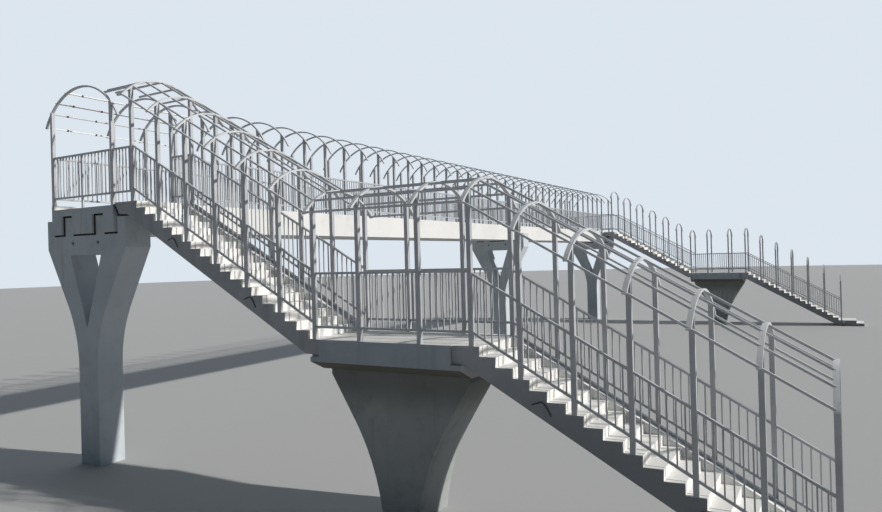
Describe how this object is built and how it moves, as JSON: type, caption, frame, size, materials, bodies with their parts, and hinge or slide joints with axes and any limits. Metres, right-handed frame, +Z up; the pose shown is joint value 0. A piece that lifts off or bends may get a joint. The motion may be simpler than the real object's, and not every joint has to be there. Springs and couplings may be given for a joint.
{
  "type": "pedestrian footbridge, 1:2 scale model",
  "caption": "Precast concrete footbridge on flared piers, with a flight of stairs at each end turning at a landing, steel railings and bare arched steel hoops over the whole way.",
  "frame": {"origin": "the middle of the middle pier's foot, on the ground under the deck's centre line", "axes": "+X level down the stairs, away from the deck; +Y level along the deck, from the near end to the far end; +Z up"},
  "size_m": [9.484, 20.764, 4.7084],
  "materials": {
    "pier_concrete": "matte",
    "beam_concrete": "matte",
    "stair_concrete": "matte",
    "bearing_rubber": "matte",
    "primed_steel": "matte"
  },
  "bodies": {
    "root": {"pier_near": "pier_concrete", "pier_middle": "pier_concrete", "pier_far": "pier_concrete", "landing_pier_near": "pier_concrete", "landing_pier_far": "pier_concrete", "deck_beam_outer_near": "beam_concrete", "deck_beam_inner_near": "beam_concrete", "deck_beam_outer_far": "beam_concrete", "deck_beam_inner_far": "beam_concrete", "upper_flight_near": "stair_concrete", "landing_near": "stair_concrete", "lower_flight_near": "stair_concrete", "foot_steps_near": "stair_concrete", "upper_flight_far": "stair_concrete", "landing_far": "stair_concrete", "lower_flight_far": "stair_concrete", "foot_steps_far": "stair_concrete", "bearing_pads": "bearing_rubber", "deck_railing_outer_near": "primed_steel", "deck_railing_inner_near": "primed_steel", "deck_railing_outer_far": "primed_steel", "deck_railing_inner_far": "primed_steel", "end_railing_near": "primed_steel", "end_railing_far": "primed_steel", "deck_hoops_near": "primed_steel", "deck_hoops_far": "primed_steel", "side_girts": "primed_steel", "upper_railing_left_near": "primed_steel", "upper_railing_right_near": "primed_steel", "landing_railing_left_near": "primed_steel", "landing_railing_right_near": "primed_steel", "lower_railing_left_near": "primed_steel", "lower_railing_right_near": "primed_steel", "upper_railing_left_far": "primed_steel", "upper_railing_right_far": "primed_steel", "landing_railing_left_far": "primed_steel", "landing_railing_right_far": "primed_steel", "lower_railing_left_far": "primed_steel", "lower_railing_right_far": "primed_steel", "upper_cage_near": "primed_steel", "landing_cage_near": "primed_steel", "lower_cage_near": "primed_steel", "upper_hoops_far": "primed_steel", "landing_hoops_far": "primed_steel", "lower_hoops_far": "primed_steel"}
  },
  "joints": []
}
